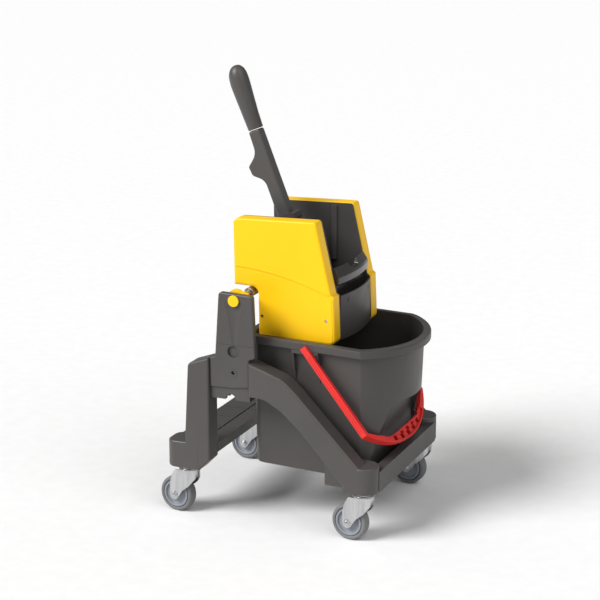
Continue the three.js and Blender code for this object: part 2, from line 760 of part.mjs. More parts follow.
// Takes a piece drawn upright over the rod to its place on the leaning lever.
function leaned(solid) {
  return toSolid(toGeometry(solid).rotateY(-JAW.lean * RAD).translate(JAW.x, 0, JAW.z));
}

function movingJaw() {
  const { x, z } = JAW;
  const half = INNER_HALF - 9;
  const plate = block(12, 18, -half, half, 396, 508);
  const hub = rodY(x, z, 14, -half, half, 24);
  const webs = [-62, -31, 31, 62].map((y) =>
    plateXZ([[x - 8, z - 11], [14, 400], [14, 506], [x + 6, z + 8]], y - 2, y + 2),
  );
  const socket = plateXZ(
    [[-16, 0], [16, 0], [21, 30], [21, 74], [25, 77], [25, 87], [19, 90], [-21, 90], [-21, 30]],
    -SOCKET_HALF_Y,
    SOCKET_HALF_Y,
  );
  const mouth = block(-13.8, 13.8, -ARM_HALF_Y - GAP, ARM_HALF_Y + GAP, ARM_FOOT - GAP, 100);
  const holes = [];
  for (let row = 0; row < 4; row += 1) {
    for (const column of [-3, -1, 1, 3]) {
      holes.push(block(10, 20, column * 15 - 4, column * 15 + 4, 402 + row * 24, 418 + row * 24));
    }
  }
  const body = cut(join(plate, hub, ...webs, leaned(socket)), leaned(mouth), ...holes);
  return cut(body, rodY(x, z, ROD_R + 0.1, -90, 90));
}

function leverArm() {
  const outline = [
    [-13.5, ARM_FOOT],
    [13.5, ARM_FOOT],
    [14, 269],
    [-11, 269],
    [-12.5, 223, 12],
    [-38, 203, 5],
    [-36, 184, 5],
    [-13.5, 167, 14],
  ];
  const bar = plateXZ(outline, -ARM_HALF_Y, ARM_HALF_Y);
  const neck = rodZ(2, 0, 10, 268, 301, 16);
  return leaned(join(bar, neck));
}

function leverGrip() {
  const stations = [
    [272, 15.5, 2],
    [301, 16.5, 2],
    [338, 18.5, 3],
    [367, 20, 4],
    [385, 19.5, 5],
    [396, 15, 6],
    [403, 7, 6.5],
  ];
  const rings = stations.map(([z, radius, x]) => circle(x, 0, radius, 20).map(([u, v]) => [u, v, z]));
  return leaned(cut(loft(rings), rodZ(2, 0, 10 + GAP, 260, 302, 16)));
}

add("moving_jaw", movingJaw(), DARK);
add("lever_arm", leverArm(), DARK);
add("lever_grip", leverGrip(), DARK);

export default trolley;
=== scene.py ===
"""Looks for the bucket trolley with press wringer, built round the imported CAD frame.

Lengths are in millimetres until a piece is shown, and then in metres. +X is the front, +Z is up.
"""

import json
import math

import bmesh
import bpy
from mathutils import Matrix, Vector


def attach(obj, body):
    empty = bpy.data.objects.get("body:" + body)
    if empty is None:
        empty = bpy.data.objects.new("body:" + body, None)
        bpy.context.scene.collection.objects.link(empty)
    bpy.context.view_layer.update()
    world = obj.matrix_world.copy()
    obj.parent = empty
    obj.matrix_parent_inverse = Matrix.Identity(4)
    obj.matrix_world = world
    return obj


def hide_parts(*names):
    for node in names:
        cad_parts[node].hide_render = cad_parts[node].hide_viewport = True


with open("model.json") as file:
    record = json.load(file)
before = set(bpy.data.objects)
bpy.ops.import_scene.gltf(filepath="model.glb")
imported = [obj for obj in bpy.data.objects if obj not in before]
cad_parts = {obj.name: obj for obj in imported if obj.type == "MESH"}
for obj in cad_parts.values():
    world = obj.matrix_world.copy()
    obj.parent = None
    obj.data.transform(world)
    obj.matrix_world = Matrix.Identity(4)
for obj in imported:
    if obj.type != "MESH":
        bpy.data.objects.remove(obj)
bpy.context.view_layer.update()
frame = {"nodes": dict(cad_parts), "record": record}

# ---------- driving dimensions, the same as the frame's ----------
MM = 0.001
AXLE_X = 190.5
AXLE_Y = 166.5
WHEEL_R = 37.5
CASTER_TRAIL = 28
CASTER_TURN = math.radians(-6)
FORK_HALF = 17.5
FRAME_LOW = 104
FRONT_TOP = 159
SIDE_OUT = 196
SIDE_IN = 154
SIDE_WALL = 4.5
LEG_FACE = -131
ARM_BACK = -45
POST_OUT = 190
POST_IN = 176.5
POST_FOOT_IN = 160
POST_SCREW = (-79, 362)
POST_PIN = (-79, 319)
CORNER_R = 30.5
TILT = (-76, 466)
JAW = (-16, 520)
LEVER_LEAN = math.radians(21.8)
LEVER_HALF = 13
PRESS_OUT = 115
PRESS_IN = 83
JAW_HALF = 78.7
LIP_BULGE = 8
SLOT_PITCH = 20
SCREWS = [(-50, 419), (88, 424)]
BUCKET_SLOPE = 0.028
BUCKET_HALF = 137
BUCKET_BACK = -67.5
BUCKET_CORNER = 22
RIM = 386.5
FLOOR = 114.5
WALL = 2.6
DRAFT = 10
BACK_DRAFT = 4
FRONT_CENTRE = 72.5
FRONT_RADIUS = 169
BAIL_AT = (60, 371)
BAIL_TILT = math.radians(51)
BAIL_HALF = 157
BAIL_THICK = 13
BAIL_WIDTH = 6.5
BAIL_END = -8
ARM_LENGTH = 203
BOW_LENGTH = 262
GRIP_AT = 236.5
GRIP_HALF = 71
GRIP_EXTRA = 10
SIDES = (("right", -1), ("left", 1))


# ---------- outlines ----------
def rounded(points, steps=8):
    """The outline with an arc at each corner that is given as (u, v, radius)."""
    out = []
    for i, point in enumerate(points):
        here = Vector(point[:2])
        radius = point[2] if len(point) > 2 else 0
        if not radius:
            out.append(here)
            continue
        before = (Vector(points[i - 1][:2]) - here).normalized()
        after = (Vector(points[(i + 1) % len(points)][:2]) - here).normalized()
        half = math.acos(max(-1, min(1, before.dot(after)))) / 2
        centre = here + (before + after).normalized() * (radius / math.sin(half))
        start = here + before * (radius / math.tan(half)) - centre
        end = here + after * (radius / math.tan(half)) - centre
        turn = math.atan2(start.x * end.y - start.y * end.x, start.dot(end))
        for k in range(steps + 1):
            out.append(centre + Matrix.Rotation(turn * k / steps, 2) @ start)
    return out


def inset(points, distance):
    """An anticlockwise outline moved inwards, its rounded corners kept."""
    out = []
    for i, point in enumerate(points):
        here = Vector(point[:2])
        before = (here - Vector(points[i - 1][:2])).normalized()
        after = (Vector(points[(i + 1) % len(points)][:2]) - here).normalized()
        normal = Vector((-before.y - after.y, before.x + after.x)).normalized()
        reach = distance / max(0.3, normal.dot(Vector((-before.y, before.x))))
        moved = here + normal * reach
        out.append((moved.x, moved.y, *(max(1, r - distance) for r in point[2:])))
    return out


def circle(u, v, radius, sides=48):
    """Points round a circle."""
    angles = [2 * math.pi * i / sides for i in range(sides)]
    return [(u + radius * math.cos(a), v + radius * math.sin(a)) for a in angles]


def arc(centre, radius, start, end, steps=8):
    """(u, v) points on an arc, in degrees."""
    angles = [math.radians(start + (end - start) * i / steps) for i in range(steps + 1)]
    return [(centre[0] + radius * math.cos(a), centre[1] + radius * math.sin(a)) for a in angles]


def span(side, far, near):
    """The (low, high) pair between two distances from the middle, on one side."""
    return sorted((side * far, side * near))


# ---------- solids ----------
def solid(verts, faces):
    """A new object from points and faces, its faces turned outwards."""
    mesh = bpy.data.meshes.new("solid")
    mesh.from_pydata([tuple(v) for v in verts], [], faces)
    work = bmesh.new()
    work.from_mesh(mesh)
    bmesh.ops.remove_doubles(work, verts=work.verts, dist=1e-4)
    bmesh.ops.recalc_face_normals(work, faces=work.faces)
    work.to_mesh(mesh)
    work.free()
    made = bpy.data.objects.new("solid", mesh)
    bpy.context.scene.collection.objects.link(made)
    return made


def prism(points, place, low, high, steps=8):
    """An outline filled from low to high, with place(u, v, w) giving the 3-D point."""
    flat = rounded(points, steps)
    count = len(flat)
    verts = [place(p[0], p[1], w) for w in (low, high) for p in flat]
    sides = [(i, (i + 1) % count, (i + 1) % count + count, i + count) for i in range(count)]
    return solid(verts, [tuple(range(count)), tuple(range(2 * count - 1, count - 1, -1)), *sides])


# the three ways to lay an outline's (u, v) in space, with w along the axis that is left
def in_xz(u, v, w):
    return (u, w, v)


def in_xy(u, v, w):
    return (u, v, w)


def in_yz(u, v, w):
    return (w, u, v)


def block(x, y, z):
    """A box from three (low, high) pairs."""
    return prism([(x[0], y[0]), (x[1], y[0]), (x[1], y[1]), (x[0], y[1])], in_xy, z[0], z[1])


def loft(rings):
    """A closed skin over rings of 3-D points."""
    count = len(rings[0])
    total = len(rings) * count
    faces = [tuple(range(count)), tuple(range(total - 1, total - count - 1, -1))]
    for level in range(len(rings) - 1):
        for i in range(count):
            a = level * count + i
            b = level * count + (i + 1) % count
            faces.append((a, b, b + count, a + count))
    return solid([v for ring in rings for v in ring], faces)


def ring_sweep(rings):
    """A closed tube of rings: the last ring joins the first."""
    count = len(rings[0])
    faces = []
    for level in range(len(rings)):
        other = (level + 1) % len(rings)
        for i in range(count):
            k = (i + 1) % count
            faces.append((level * count + i, level * count + k, other * count + k, other * count + i))
    return solid([v for ring in rings for v in ring], faces)


def pillow(points, place, low, high, edge, steps=10, turns=5):
    """A prism whose two rims are rounded over, as moulded edges are."""
    area = sum(a[0] * b[1] - b[0] * a[1] for a, b in zip(points, [*points[1:], points[0]]))
    outline = points if area > 0 else list(reversed(points))
    angles = [math.pi / 2 * k / turns for k in range(turns + 1)]
    levels = [(edge * (1 - math.sin(a)), low + edge * (1 - math.cos(a))) for a in angles]
    levels += [(sink, high + low - w) for sink, w in reversed(levels)]
    rings = []
    for sink, w in levels:
        ring = rounded(inset(outline, sink), steps)
        rings.append([place(p[0], p[1], w) for p in ring])
    return loft(rings)


def turned(profile, place, sides=64):
    """A profile of (radius, height) points turned about an axis, with place as in prism."""
    count = len(profile)
    verts = [
        place(r * math.cos(2 * math.pi * i / sides), r * math.sin(2 * math.pi * i / sides), h)
        for i in range(sides)
        for r, h in profile
    ]
    faces = []
    for i in range(sides):
        for k in range(count):
            a = i * count + k
            b = i * count + (k + 1) % count
            c = ((i + 1) % sides) * count
            faces.append((a, b, c + (k + 1) % count, c + k))
    return solid(verts, faces)


def rod(x, z, radius, low, high, sides=48):
    """A round bar along Y."""
    return prism(circle(x, z, radius, sides), in_xz, low, high)


def combine(base, tools, operation):
    """base joined with, or cut by, each tool in turn. The tools are used up."""
    for tool in tools:
        step = base.modifiers.new("step", "BOOLEAN")
        step.operation = operation
        step.solver = "EXACT"
        step.object = tool
    graph = bpy.context.evaluated_depsgraph_get()
    mesh = bpy.data.meshes.new_from_object(base.evaluated_get(graph))
    base.modifiers.clear()
    base.data = mesh
    for tool in tools:
        bpy.data.objects.remove(tool)
    return base


def join(base, *tools):
    return combine(base, tools, "UNION")


def cut(base, *tools):
    return combine(base, tools, "DIFFERENCE")


def common(base, tool):
    return combine(base, [tool], "INTERSECT")


def copy_of(node):
    """A copy of a CAD node's solid, in millimetres."""
    made = bpy.data.objects.new(node, frame["nodes"][node].data.copy())
    bpy.context.scene.collection.objects.link(made)
    made.data.transform(Matrix.Scale(1 / MM, 4))
    return made


BODIES = frame["record"]["behaviour"]["bodies"]
BODY_OF = {node: body for body, nodes in BODIES.items() for node in nodes}
SLOT_OF = {part["node"]: part["material_slot"] for part in frame["record"]["subparts"]}
WELD = 2e-6  # metres
FLAT_ANGLE = math.radians(0.6)


def show(made, node, material, bevel=1.0, segments=3, angle=28):
    """Puts a finished piece in place of its CAD node, on the node's body, with its edges rounded."""
    made.name = f"{node}_look"
    made.data.name = made.name
    made.data.transform(Matrix.Scale(MM, 4))
    work = bmesh.new()
    work.from_mesh(made.data)
    bmesh.ops.remove_doubles(work, verts=work.verts, dist=WELD)
    bmesh.ops.dissolve_limit(
        work,
        angle_limit=FLAT_ANGLE,
        verts=work.verts,
        edges=work.edges,
        use_dissolve_boundaries=False,
    )
    for face in work.faces:
        face.smooth = True
    clean = bpy.data.meshes.new(made.name)
    work.to_mesh(clean)
    work.free()
    made.data = clean
    made.data.materials.clear()
    made.data.materials.append(material)
    if bevel:
        edge = made.modifiers.new("edges", "BEVEL")
        edge.width = bevel * MM
        edge.segments = segments
        edge.limit_method = "ANGLE"
        edge.angle_limit = math.radians(angle)
        edge.harden_normals = True
        edge.miter_outer = "MITER_ARC"
    weight = made.modifiers.new("shade", "WEIGHTED_NORMAL")
    weight.keep_sharp = True
    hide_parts(node)
    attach(made, BODY_OF[node])
    return made


# ---------- materials ----------
def shader(name):
    """A new material, its node tree and its Principled shader."""
    material = bpy.data.materials.new(name)
    material.use_nodes = True
    tree = material.node_tree
    return material, tree, tree.nodes["Principled BSDF"]


def noise(tree, scale, detail=2.0, stretch=(1, 1, 1)):
    """A noise texture laid on in metres."""
    where = tree.nodes.new("ShaderNodeTexCoord")
    mapping = tree.nodes.new("ShaderNodeMapping")
    mapping.inputs["Scale"].default_value = stretch
    texture = tree.nodes.new("ShaderNodeTexNoise")
    texture.inputs["Scale"].default_value = scale
    texture.inputs["Detail"].default_value = detail
    tree.links.new(where.outputs["Object"], mapping.inputs["Vector"])
    tree.links.new(mapping.outputs["Vector"], texture.inputs["Vector"])
    return texture


def ramp(tree, source, low, high, start=0.35, end=0.65):
    """Blends from one colour to another as the source goes from start to end."""
    made = tree.nodes.new("ShaderNodeValToRGB")
    made.color_ramp.elements[0].position = start
    made.color_ramp.elements[1].position = end
    made.color_ramp.elements[0].color = (*low, 1)
    made.color_ramp.elements[1].color = (*high, 1)
    tree.links.new(source.outputs["Fac"], made.inputs["Fac"])
    return made


def between(tree, source, low, high):
    """A number that runs from low to high with the source."""
    made = tree.nodes.new("ShaderNodeMapRange")
    made.inputs["From Min"].default_value = 0.3
    made.inputs["From Max"].default_value = 0.7
    made.inputs["To Min"].default_value = low
    made.inputs["To Max"].default_value = high
    tree.links.new(source.outputs["Fac"], made.inputs["Value"])
    return made


def roughened(tree, surface, source, strength, depth):
    """Bump on a shader from a texture."""
    bump = tree.nodes.new("ShaderNodeBump")
    bump.inputs["Strength"].default_value = strength
    bump.inputs["Distance"].default_value = depth
    tree.links.new(source.outputs["Fac"], bump.inputs["Height"])
    tree.links.new(bump.outputs["Normal"], surface.inputs["Normal"])


def moulded(name, colour, spread=0.07, rough=(0.42, 0.55), grain=1100, relief=0.12, specular=0.5):
    """Moulded plastic: a fine spark-eroded grain, and slow changes of shade and gloss."""
    material, tree, surface = shader(name)
    darker = [c * (1 - spread) for c in colour]
    lighter = [min(1, c * (1 + spread)) for c in colour]
    slow = noise(tree, 7, 3)
    tree.links.new(ramp(tree, slow, darker, lighter).outputs["Color"], surface.inputs["Base Color"])
    handled = noise(tree, 16, 4)
    tree.links.new(between(tree, handled, *rough).outputs["Result"], surface.inputs["Roughness"])
    roughened(tree, surface, noise(tree, grain, 2), relief, 0.0002)
    surface.inputs["Specular IOR Level"].default_value = specular
    return material


def plated(name, colour, rough=(0.24, 0.34), scale=40, stretch=(1, 1, 1)):
    """Zinc-plated or bright steel with faint cloudy marks."""
    material, tree, surface = shader(name)
    clouds = noise(tree, scale, 2, stretch)
    darker = [c * 0.8 for c in colour]
    tree.links.new(ramp(tree, clouds, darker, colour).outputs["Color"], surface.inputs["Base Color"])
    tree.links.new(between(tree, clouds, *rough).outputs["Result"], surface.inputs["Roughness"])
    roughened(tree, surface, noise(tree, 900, 2, stretch), 0.02, 0.0001)
    surface.inputs["Metallic"].default_value = 1
    return material


GREY = moulded("frame_plastic", (0.06, 0.055, 0.052), rough=(0.36, 0.46))
BUCKET_GREY = moulded("bucket_plastic", (0.054, 0.049, 0.046), rough=(0.4, 0.5))
DARK = moulded("press_plastic", (0.046, 0.042, 0.04), rough=(0.42, 0.55))
GLOSSY_DARK = moulded("jaw_plastic", (0.034, 0.031, 0.03), rough=(0.2, 0.3), relief=0.04)
LEVER_GREY = moulded("lever_plastic", (0.063, 0.058, 0.055), rough=(0.38, 0.48))
YELLOW = moulded(
    "yellow_plastic",
    (0.95, 0.55, 0.006),
    spread=0.02,
    rough=(0.38, 0.46),
    relief=0.05,
    specular=0.25,
)
RED = moulded("red_plastic", (0.72, 0.022, 0.018), spread=0.04, rough=(0.26, 0.36), relief=0.04)
HUB = moulded("hub_plastic", (0.22, 0.235, 0.265), spread=0.05, rough=(0.35, 0.48), relief=0.06)
TYRE = moulded("tyre", (0.15, 0.15, 0.155), spread=0.12, rough=(0.5, 0.68), grain=700, relief=0.15)
ZINC = plated("zinc", (0.6, 0.6, 0.61), stretch=(3, 3, 0.4))
STEEL = plated("steel", (0.6, 0.6, 0.61), stretch=(1, 12, 1))

# the look and the edge radius of each slot's pieces that keep their CAD shape
LOOKS = {
    "frame_plastic": (GREY, 3.6),
    "press_plastic": (DARK, 0.8),
    "yellow_plastic": (YELLOW, 1.2),
    "steel": (STEEL, 0.4),
}


# ---------- casters ----------
def on_caster(made, row, side):
    """Takes a piece drawn with its swivel axis on Z to its caster's place and heading."""
    move = Matrix.Translation((row * AXLE_X, side * AXLE_Y, 0))
    made.data.transform(move @ Matrix.Rotation(CASTER_TURN, 4, "Z"))
    return made


def on_axle(u, v, w):
    """Places a wheel profile: w runs along the axle."""
    return (u - CASTER_TRAIL, w, v + WHEEL_R)


def tyre():
    """A solid tyre: round tread, a soft shoulder and a fine moulding step at the bead."""
    tread = WHEEL_R - 0.25
    right = arc((tread - 5, 6.6), 5, 4, 86, 7)
    left = [(r, -h) for r, h in right]
    bead = [(30.5, 11.4), (30.2, 10.4), (28.7, 10)]
    other = [(r, -h) for r, h in reversed(bead)]
    profile = [*reversed(bead), *reversed(right), (tread, 0), *left, *reversed(other)]
    return turned(profile, on_axle, 72)


def hub():
    """A wheel centre with a dished disc, a raised rim ring and a bearing boss."""
    face = [
        (4.3, 14.4),
        (8.0, 14.4),
        (9.0, 13.6),
        (10.4, 9.0),
        (12.0, 8.0),
        (20.5, 7.2),
        (22.4, 8.0),
        (23.6, 11.0),
        (24.6, 11.8),
        (27.0, 11.8),
        (28.2, 10.8),
    ]
    back = [(r, -h) for r, h in reversed(face)]
    return turned([*face, *back], on_axle, 64)


def race():
    """The swivel bearing cup, with its rolled lips."""
    top = FRAME_LOW - 0.3
    profile = [
        (0, top),
        (21.0, top),
        *arc((20.6, top - 1.6), 1.6, 80, -80, 6),
        (19.6, 100.2),
        (19.2, 99.2),
        *arc((20.9, 98.0), 1.2, 70, -70, 6),
        (18.0, 96.6),
        (0, 96.6),
    ]
    return turned(profile, in_xy, 56)


def axle():
    """The wheel bolt: washers, a domed head on one side and a lock nut on the other."""
    out = FORK_HALF + 0.3
    shank = [(0, -out - 1), (3.9, -out - 1), (3.9, out + 5.6), (3.4, out + 6.2), (0, out + 6.2)]
    bolt = turned(shank, on_axle, 32)
    washer = [(0, -out - 1.2), (7.6, -out - 1.2), (7.9, -out - 0.6), (7.6, -out), (0, -out)]
    dome = [(3.4, -out - 4.1), (5.4, -out - 3.1), (6.3, -out - 1.1)]
    head = [(0, -out - 4.4), *dome, (0, -out - 1.1)]
    nut_washer = [(0, out), (7.6, out), (7.9, out + 0.6), (7.6, out + 1.2), (0, out + 1.2)]
    nut = prism(circle(-CASTER_TRAIL, WHEEL_R, 6.6, 6), in_xz, out + 1.1, out + 4.8)
    collar = [(0, out + 4.7), (4.9, out + 4.7), (4.4, out + 5.5), (0, out + 5.5)]
    rounds = [turned(profile, on_axle, 40) for profile in (washer, head, nut_washer, collar)]
    return join(bolt, *rounds, nut)


for row_name, row in (("front", 1), ("rear", -1)):
    for hand, side in SIDES:
        name = f"caster_{row_name}_{hand}"
        show(on_caster(tyre(), row, side), f"{name}_tyre", TYRE, bevel=0)
        show(on_caster(hub(), row, side), f"{name}_hub", HUB, bevel=0.5, segments=2)
        show(on_caster(race(), row, side), f"{name}_race", ZINC, bevel=0)
        show(on_caster(axle(), row, side), f"{name}_axle", STEEL, bevel=0.4, segments=2)
        show(copy_of(f"{name}_fork"), f"{name}_fork", ZINC, bevel=0.7, segments=3)


# ---------- frame ----------
def beam(outline, pocket, side):
    """A moulded side member: rounded edges outside, hollow from the inner side."""
    whole = pillow(outline, in_xz, *span(side, SIDE_OUT, SIDE_IN), 4.5)
    return cut(whole, prism(pocket, in_xz, *span(side, SIDE_OUT - SIDE_WALL, SIDE_IN - 1)))


def rear_leg(side):
    """The tall leg on its caster block."""
    outline = [
        (-155, FRAME_LOW + 0.5, 4),
        (LEG_FACE, 129, 4),
        (LEG_FACE, 344.7, 3),
        (-177.5, 328, 12),
        (-190, FRAME_LOW + 0.5),
    ]
    pocket = [
        (LEG_FACE - SIDE_WALL, 168),
        (LEG_FACE - SIDE_WALL, 335),
        (-173, 320, 8),
        (-184, 168),
    ]
    out, near = side * (SIDE_OUT + 0.5), side * 137
    foot = [(-229, near, 20), (-229, out, 20), (-155, out, 4), (-155, near, 4)]
    return join(beam(outline, pocket, side), pillow(foot, in_xy, FRAME_LOW, 161, 4))


def front_arm(side):
    """The arm that slopes down to the round corner boss."""
    outline = [
        (ARM_BACK + 0.3, 274),
        (-11, 273, 40),
        (25, 253, 60),
        (68, 215, 60),
        (156, 119),
        (156, FRAME_LOW + 0.5),
        (AXLE_X, FRAME_LOW + 0.5),
        (AXLE_X, FRONT_TOP - 1),
        (58, 293, 60),
        (30, 318, 60),
        (-10, 332, 90),
        (ARM_BACK + 0.3, 343),
    ]
    pocket = [
        (ARM_BACK + 8, 282),
        (-10, 281, 30),
        (28, 261, 50),
        (72, 223, 50),
        (140, 158),
        (140, 190),
        (54, 286, 50),
        (27, 310, 50),
        (-8, 324, 60),
        (ARM_BACK + 8, 335),
    ]
    radius = CORNER_R - 0.6
    near, far = side * (AXLE_Y - radius), side * (AXLE_Y + radius)
    nose = [(AXLE_X + p[0], side * (AXLE_Y + p[1])) for p in arc((0, 0), radius, -88, 88, 24)]
    boss = [(174, near), (AXLE_X, near), *nose, (AXLE_X, far), (174, far)]
    boss = pillow(boss, in_xy, FRAME_LOW, FRONT_TOP, 3.5)
    gusset = block((109, 160), span(side, 170, AXLE_Y - CORNER_R), (106, 150))
    return join(beam(outline, pocket, side), boss, gusset)


def channel(side):
    """The tapering hollow down the face of a post, as a solid to cut away."""
    # height, middle, half the width and depth of the hollow
    stations = [
        (463, -78, 20, 2.4),
        (455, -78, 18.5, 2.6),
        (418, -77, 11, 2.2),
        (374, -76, 4.5, 1.2),
    ]
    rings = []
    for z, x, half, deep in stations:
        radius = (half**2 + deep**2) / (2 * deep)
        middle = side * (POST_OUT + radius - deep)
        rings.append([(u, v, z) for u, v in circle(x, middle, radius, 160)])
    return loft(rings)


def post(side):
    """An upper plate on a box-shaped foot that fills the space between leg and arm."""
    outline = [
        (LEG_FACE + 0.3, 284),
        (-80, 286),
        (ARM_BACK, 291),
        (ARM_BACK, 347, 3),
        (-32, 352, 5),
        (-37, 478.5, 6),
        (-110, 480.5, 7),
        (-119, 349, 4),
        (LEG_FACE + 0.3, 345),
    ]
    foot = [(LEG_FACE + 0.3, 261), (ARM_BACK, 261), (ARM_BACK, 347), (LEG_FACE + 0.3, 345)]
    hollow = [(-126, 255), (-50, 255), (-50, 342), (-126, 340)]
    plate = pillow(outline, in_xz, *span(side, POST_OUT, POST_IN), 3.2)
    box = prism(foot, in_xz, *span(side, POST_OUT - 4, POST_FOOT_IN))
    ring = rod(*POST_PIN, 8.5, *span(side, POST_OUT - 1, POST_OUT + 0.5))
    box = cut(box, prism(hollow, in_xz, *span(side, POST_IN, POST_FOOT_IN + 4)))
    undercut = block((-140, -30), span(side, POST_OUT - 4.2, POST_OUT + 2), (255, 286))
    notch = rod(-87, 261, 11.5, *span(side, POST_FOOT_IN + 40, POST_FOOT_IN - 1), 64)
    tilt_hole = rod(*TILT, 6.1, *span(side, POST_IN - 1, POST_OUT + 1))
    screw_hole = rod(*POST_SCREW, 12, *span(side, POST_OUT - 5, POST_OUT + 1), 64)
    pin_hole = rod(*POST_PIN, 4, *span(side, POST_OUT - 9, POST_OUT + 1))
    seam = block((-119, -32), span(side, POST_OUT - 0.5, POST_OUT + 1), (375.2, 376))
    tools = [undercut, notch, channel(side), tilt_hole, screw_hole, pin_hole, seam]
    return cut(join(box, plate, ring), *tools)


for hand, side in SIDES:
    show(rear_leg(side), f"rear_leg_{hand}", GREY, bevel=0.8)
    show(front_arm(side), f"front_arm_{hand}", GREY, bevel=0.8)
    show(post(side), f"post_{hand}", GREY, bevel=0.5)


# ---------- bucket ----------
def bucket_ring(half, radius, back, height_at, grow):
    """The bucket's plan at one level: straight back and sides and a round front."""
    half += grow
    radius += grow
    back -= grow
    meet = FRONT_CENTRE + math.sqrt(radius**2 - half**2)
    spread = math.degrees(math.asin(half / radius))
    front = arc((FRONT_CENTRE, 0), radius, -spread + 3.2, spread - 3.2, 44)
    rear = [(back, half, BUCKET_CORNER), (back, -half, BUCKET_CORNER)]
    plan = rounded([*rear, (meet - 2, -half, 6), *front, (meet - 2, half, 6)], 10)
    return [(p[0], p[1], height_at(p[0])) for p in plan]


def rim_at(x):
    """The height of the rim, which falls towards the front."""
    return RIM - BUCKET_SLOPE * x


def wall_ring(share, grow=0.0, lift=0.0):
    """A ring of the drafted wall: share is 0 at the floor and 1 at the rim."""
    draft = DRAFT * (1 - share)
    back = BUCKET_BACK + BACK_DRAFT * (1 - share)

    def height_at(x):
        return FLOOR - BUCKET_SLOPE * x + (RIM - FLOOR) * share + lift

    return bucket_ring(BUCKET_HALF - draft, FRONT_RADIUS - draft, back, height_at, grow)


def front_recess(grow):
    """The hollowed lower front: an arch whose face leans in towards the floor."""
    sill = 262 + grow
    half = [(126, 90), (118, 145), (103, 209, 60), (86, 250, 18), (55, sill, 40)]
    outline = [*half, *((-p[0], *p[1:]) for p in reversed(half))]
    outline = [(p[0] + math.copysign(grow, p[0]), *p[1:]) for p in outline]
    face = [(192 - grow, sill), (180 - grow, 90), (320, 90), (320, sill)]
    return common(prism(outline, in_yz, 150, 320, 10), prism(face, in_xz, -140, 140))


def bucket():
    """The shell, its hollowed front, the rolled rim, the side ribs and the bail lugs."""
    shell = loft([wall_ring(0), wall_ring(1)])
    shell = cut(shell, front_recess(0))
    inside = loft([wall_ring(0, -WALL, WALL), wall_ring(1, -WALL, 1)])
    inside = cut(inside, front_recess(WALL))
    shell = cut(shell, inside)
    # how far out from the wall, and how far above the rim's height
    levels = [
        (12.0, -16),
        (13.0, -15),
        (13.0, -3),
        (12.1, -0.9),
        (10.0, 0),
        (1.5, 0),
        (-1.0, -0.6),
        (-1.9, -2),
        (-1.9, -16),
    ]
    rings = [
        bucket_ring(BUCKET_HALF, FRONT_RADIUS, BUCKET_BACK, lambda x, d=drop: rim_at(x) + d, out)
        for out, drop in levels
    ]
    parts = [ring_sweep(rings)]
    for side in (-1, 1):
        parts.append(block((28, 84), span(side, 135, 149), (362, 380)))
        for x in (28, 80):
            rib = [(side * 132, 290), (side * 148, 364), (side * 148, 372), (side * 134, 372)]
            parts.append(prism(rib, in_yz, x, x + 4))
    shell = join(shell, *parts)
    holes = [rod(*BAIL_AT, 4.3, *span(side, 138, 160), 32) for side in (-1, 1)]
    return cut(shell, *holes)


show(bucket(), "bucket", BUCKET_GREY, bevel=1.1, angle=35)


# ---------- bail ----------
def bail():
    """A flat hoop laid out along its length and tipped down round the bucket's front."""
    bow_half = BAIL_HALF + 3
    rise = BOW_LENGTH - ARM_LENGTH
    radius = (bow_half**2 + rise**2) / (2 * rise)
    centre = BOW_LENGTH - radius
    spread = math.asin(bow_half / radius)
    steps = 48
    angles = [-spread + 2 * spread * i / steps for i in range(steps + 1)]

    def on_bow(a, width):
        return (centre + (radius - width) * math.cos(a), (radius - width) * math.sin(a))

    outer = [on_bow(a, 0) for a in angles]
    inner = []
    for a in angles:
        width = BAIL_WIDTH
        if abs(a) < spread:
            width += GRIP_EXTRA * math.cos(a / spread * math.pi / 2) ** 0.7
        u, y = on_bow(a, width)
        inner.append((min(u, GRIP_AT) if abs(y) < GRIP_HALF else u, y))
    inside = BAIL_HALF - BAIL_WIDTH
    inner[0] = (ARM_LENGTH - 6, -inside)
    inner[-1] = (ARM_LENGTH - 6, inside)
    outline = [
        (BAIL_END, -inside),
        (BAIL_END, -BAIL_HALF),
        *outer,
        (BAIL_END, BAIL_HALF),
        (BAIL_END, inside),
        *reversed(inner),
    ]
    hoop = prism(outline, in_xy, -BAIL_THICK / 2, BAIL_THICK / 2)
    tools = []
    # a shallow panel in both faces of the bow
    sunk = [on_bow(a, 3.4) for a in angles[9:-9]]
    sunk += [on_bow(a, 14.4) for a in reversed(angles[9:-9])]
    for face in (-1, 1):
        tools.append(prism(sunk, in_xy, *span(face, 3, 8)))
    # the slots through the grip
    for y in (-60, -30, 0, 30, 60):
        start = GRIP_AT + 3.5
        end = centre + math.sqrt(radius**2 - y**2) - 5
        slot = [(start, y - 7, 2), (end, y - 7, 2), (end, y + 7, 2), (start, y + 7, 2)]
        tools.append(prism(slot, in_xy, -10, 10, 4))
    # two grooves along the outer face of each arm, which spreads towards the bow
    slant = 3 / (ARM_LENGTH - BAIL_END)
    for side in (-1, 1):
        for height in (-2.6, 2.6):
            ends = [(u, BAIL_HALF + slant * (u - BAIL_END)) for u in (14, ARM_LENGTH - 8)]
            floor_of = [(u, side * (y - 0.9)) for u, y in ends]
            roof_of = [(u, side * (y + 3)) for u, y in reversed(ends)]
            tools.append(prism([*floor_of, *roof_of], in_xy, height - 0.9, height + 0.9))
    hoop = cut(hoop, *tools)
    pegs = [rod(0, 0, 4, *span(side, 141, BAIL_HALF - 1), 32) for side in (-1, 1)]
    hoop = join(hoop, *pegs)
    move = Matrix.Translation((BAIL_AT[0], 0, BAIL_AT[1]))
    hoop.data.transform(move @ Matrix.Rotation(BAIL_TILT, 4, "Y"))
    return hoop


show(bail(), "bail", RED, bevel=0.7, segments=2)


